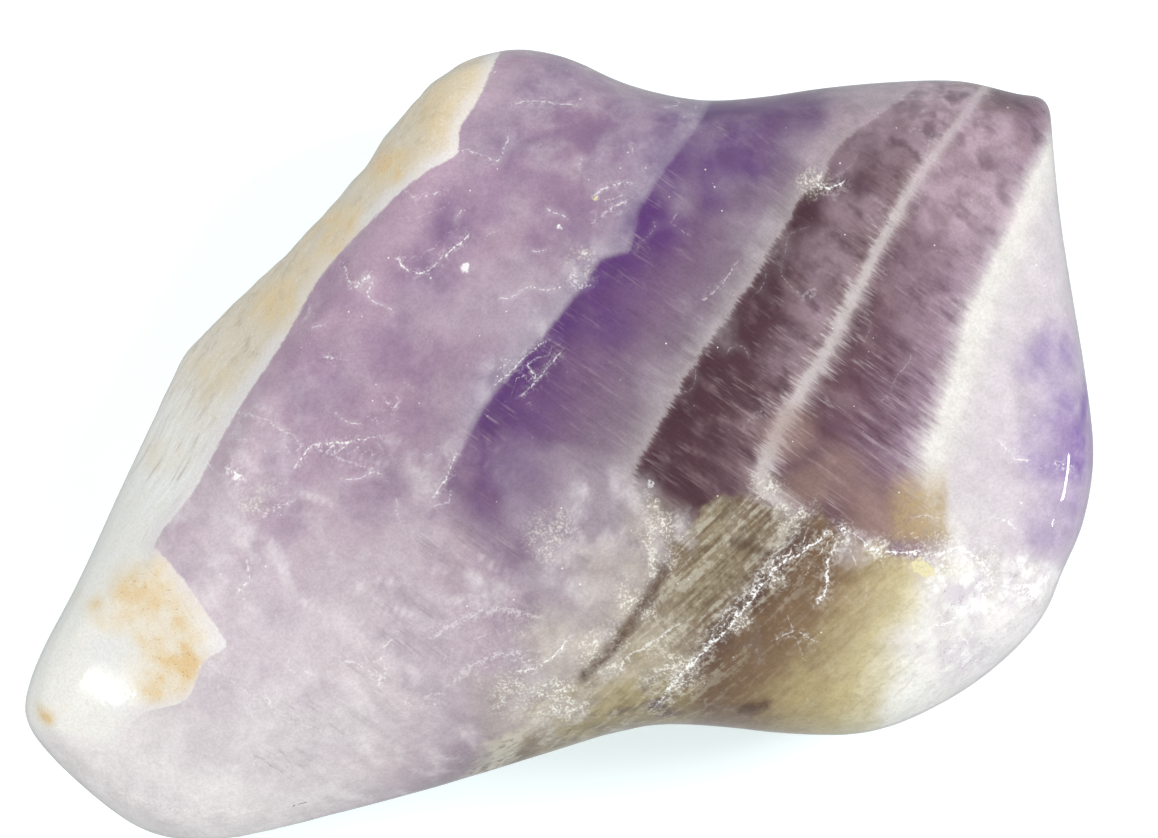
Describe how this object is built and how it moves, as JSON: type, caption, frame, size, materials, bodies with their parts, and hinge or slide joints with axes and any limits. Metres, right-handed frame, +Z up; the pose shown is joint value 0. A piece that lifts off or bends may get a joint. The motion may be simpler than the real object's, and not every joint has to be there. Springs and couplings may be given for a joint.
{
  "type": "polished amethyst stone",
  "caption": "Palm-size freeform of banded chevron amethyst, tumbled smooth, with broad soft facets and a flat foot to rest on. A display piece or palm stone.",
  "frame": {"origin": "on the flat foot, under the middle of the stone's bounding box", "axes": "+X along the stone from its pale rind end to its dark banded end, +Y across it towards the side with the hump, +Z up from the flat foot"},
  "size_m": [0.0643, 0.0426, 0.0205],
  "materials": {
    "amethyst": "polished"
  },
  "bodies": {
    "root": {"chevron_amethyst": "amethyst"}
  },
  "joints": []
}
